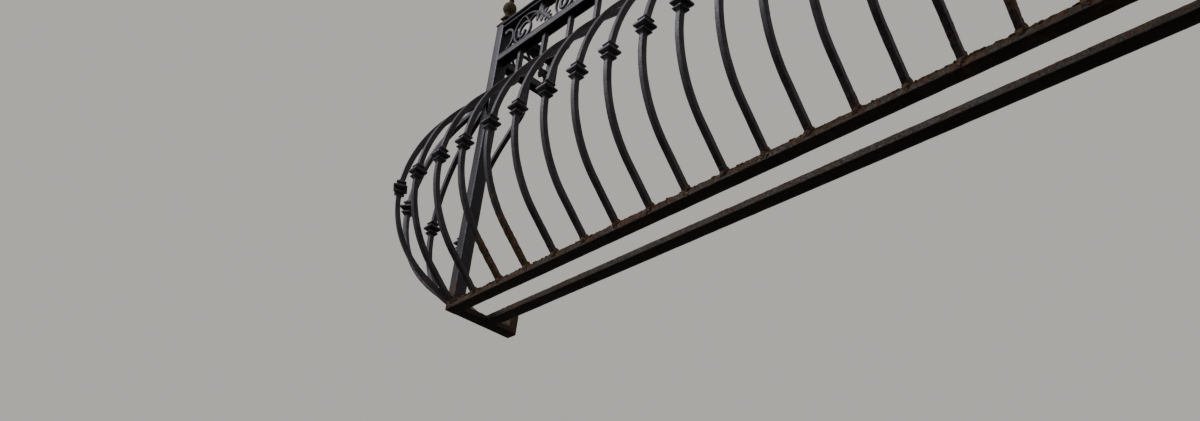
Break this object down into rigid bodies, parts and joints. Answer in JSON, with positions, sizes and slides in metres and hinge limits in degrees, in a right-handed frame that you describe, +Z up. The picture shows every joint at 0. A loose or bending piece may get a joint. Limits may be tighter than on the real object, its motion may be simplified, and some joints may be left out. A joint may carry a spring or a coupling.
{
  "type": "wrought iron balcony",
  "caption": "Shallow wall-hung iron balcony with bellied square balusters, forged knuckles, a scroll frieze under a moulded handrail, and ball finials on its corner posts.",
  "frame": {"origin": "centre of the left lug's flat face, where it bears on the wall", "axes": "+X along the wall to the right lug, +Y into the wall, +Z up; the balcony stands out towards -Y"},
  "size_m": [2.808, 0.4515, 1.1659],
  "materials": {
    "rail_paint": "worn dark bronze-black paint",
    "bar_paint": "worn dark bronze-black paint with rust",
    "scroll_paint": "worn dark bronze-black paint",
    "base_rust": "black paint with rust and moss specks",
    "finial_rust": "rusted iron under the rest of the paint"
  },
  "bodies": {
    "root": {"base_front_bar": "base_rust", "base_inner_bar": "base_rust", "base_side_left": "base_rust", "base_side_right": "base_rust", "post_left": "rail_paint", "post_right": "rail_paint", "finial_left": "finial_rust", "finial_right": "finial_rust", "handrail_front": "rail_paint", "handrail_left": "rail_paint", "handrail_right": "rail_paint", "frieze_rail_front": "rail_paint", "frieze_rail_left": "rail_paint", "frieze_rail_right": "rail_paint", "frieze_front": "scroll_paint", "frieze_left": "scroll_paint", "frieze_right": "scroll_paint", "baluster_front_1": "bar_paint", "baluster_front_2": "bar_paint", "baluster_front_3": "bar_paint", "baluster_front_4": "bar_paint", "baluster_front_5": "bar_paint", "baluster_front_6": "bar_paint", "baluster_front_7": "bar_paint", "baluster_front_8": "bar_paint", "baluster_front_9": "bar_paint", "baluster_front_10": "bar_paint", "baluster_front_11": "bar_paint", "baluster_front_12": "bar_paint", "baluster_front_13": "bar_paint", "baluster_front_14": "bar_paint", "baluster_front_15": "bar_paint", "baluster_front_16": "bar_paint", "baluster_front_17": "bar_paint", "baluster_corner_left_1": "bar_paint", "baluster_corner_left_2": "bar_paint", "baluster_corner_left_3": "bar_paint", "baluster_corner_left_4": "bar_paint", "baluster_corner_right_1": "bar_paint", "baluster_corner_right_2": "bar_paint", "baluster_corner_right_3": "bar_paint", "baluster_corner_right_4": "bar_paint", "baluster_return_left": "bar_paint", "baluster_return_right": "bar_paint"}
  },
  "joints": []
}
